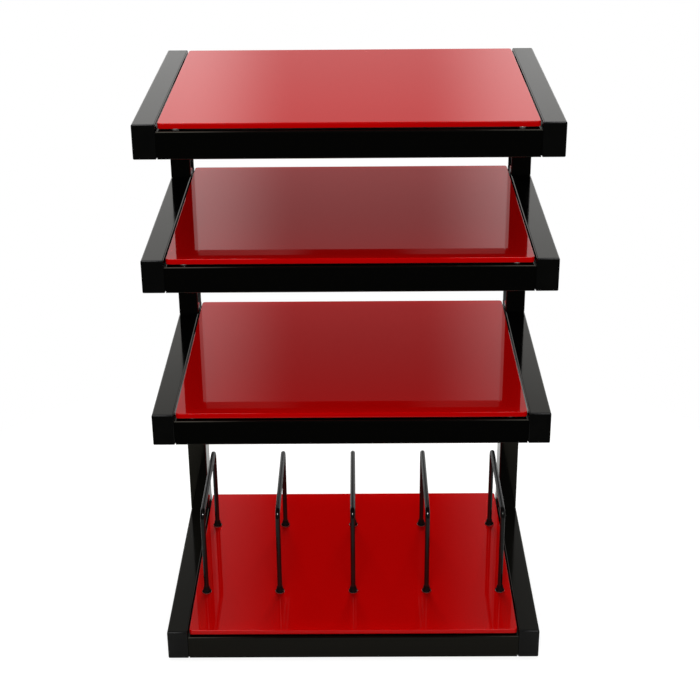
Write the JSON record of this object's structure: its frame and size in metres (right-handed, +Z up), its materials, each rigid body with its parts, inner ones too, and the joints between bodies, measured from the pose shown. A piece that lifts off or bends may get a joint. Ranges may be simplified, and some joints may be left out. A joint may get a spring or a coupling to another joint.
{
  "type": "hi-fi equipment rack",
  "caption": "Black steel tube hi-fi rack with stacked red glass shelves on rear posts, wire record dividers on the lowest shelf and levelling feet.",
  "frame": {"origin": "middle of the footprint on the floor, under the levelling feet", "axes": "+Z up, +X to the right seen from the front, the front faces -Y"},
  "size_m": [0.6, 0.446, 0.8965],
  "materials": {
    "black_frame_paint": "gloss black lacquer",
    "black_wire_paint": "semi-gloss black powder coat",
    "black_cap_plastic": "gloss moulded",
    "red_back_painted_glass": "clear polished glass with red paint on its underside",
    "clear_pad_rubber": "clear soft bumper",
    "black_rubber": "satin moulded",
    "pale_washer_nylon": "natural nylon",
    "zinc_steel": "bright zinc plate"
  },
  "bodies": {
    "frame": {"top_left_side_tube": "black_frame_paint", "top_right_side_tube": "black_frame_paint", "top_front_rail": "black_frame_paint", "top_rear_rail": "black_frame_paint", "upper_left_side_tube": "black_frame_paint", "upper_right_side_tube": "black_frame_paint", "upper_front_rail": "black_frame_paint", "upper_rear_rail": "black_frame_paint", "lower_left_side_tube": "black_frame_paint", "lower_right_side_tube": "black_frame_paint", "lower_front_rail": "black_frame_paint", "lower_rear_rail": "black_frame_paint", "bottom_left_side_tube": "black_frame_paint", "bottom_right_side_tube": "black_frame_paint", "bottom_front_rail": "black_frame_paint", "bottom_rear_rail": "black_frame_paint", "top_left_post": "black_frame_paint", "top_right_post": "black_frame_paint", "middle_left_post": "black_frame_paint", "middle_right_post": "black_frame_paint", "bottom_left_post": "black_frame_paint", "bottom_right_post": "black_frame_paint", "front_end_caps": "black_cap_plastic", "rear_end_caps": "black_cap_plastic", "post_end_plates": "black_frame_paint", "rail_end_plates": "black_frame_paint", "post_bolts": "zinc_steel", "post_bolt_washers": "zinc_steel", "rail_bolts": "zinc_steel", "rail_bolt_washers": "zinc_steel", "shelf_pads": "clear_pad_rubber", "foot_inserts": "zinc_steel"},
    "top_shelf": {"top_glass_shelf": "red_back_painted_glass"},
    "upper_shelf": {"upper_glass_shelf": "red_back_painted_glass"},
    "lower_shelf": {"lower_glass_shelf": "red_back_painted_glass"},
    "bottom_shelf": {"bottom_glass_shelf": "red_back_painted_glass", "far_left_divider": "black_wire_paint", "left_divider": "black_wire_paint", "centre_divider": "black_wire_paint", "right_divider": "black_wire_paint", "far_right_divider": "black_wire_paint", "divider_grommets": "black_rubber", "divider_seat_washers": "pale_washer_nylon", "divider_lower_washers": "zinc_steel", "divider_nuts": "zinc_steel"},
    "front_left_foot": {"front_left_foot_pad": "black_rubber", "front_left_foot_stud": "zinc_steel"},
    "front_right_foot": {"front_right_foot_pad": "black_rubber", "front_right_foot_stud": "zinc_steel"},
    "rear_left_foot": {"rear_left_foot_pad": "black_rubber", "rear_left_foot_stud": "zinc_steel"},
    "rear_right_foot": {"rear_right_foot_pad": "black_rubber", "rear_right_foot_stud": "zinc_steel"}
  },
  "joints": [
    {"name": "top_shelf_lift", "type": "slide", "parent": "frame", "child": "top_shelf", "axis": [0, 0, 1], "range_m": [0, 0.1]},
    {"name": "upper_shelf_lift", "type": "slide", "parent": "frame", "child": "upper_shelf", "axis": [0, 0, 1], "range_m": [0, 0.1]},
    {"name": "lower_shelf_lift", "type": "slide", "parent": "frame", "child": "lower_shelf", "axis": [0, 0, 1], "range_m": [0, 0.1]},
    {"name": "bottom_shelf_lift", "type": "slide", "parent": "frame", "child": "bottom_shelf", "axis": [0, 0, 1], "range_m": [0, 0.1]},
    {"name": "front_left_foot_level", "type": "slide", "parent": "frame", "child": "front_left_foot", "axis": [0, 0, 1], "range_m": [-0.008, 0]},
    {"name": "front_right_foot_level", "type": "slide", "parent": "frame", "child": "front_right_foot", "axis": [0, 0, 1], "range_m": [-0.008, 0]},
    {"name": "rear_left_foot_level", "type": "slide", "parent": "frame", "child": "rear_left_foot", "axis": [0, 0, 1], "range_m": [-0.008, 0]},
    {"name": "rear_right_foot_level", "type": "slide", "parent": "frame", "child": "rear_right_foot", "axis": [0, 0, 1], "range_m": [-0.008, 0]}
  ]
}
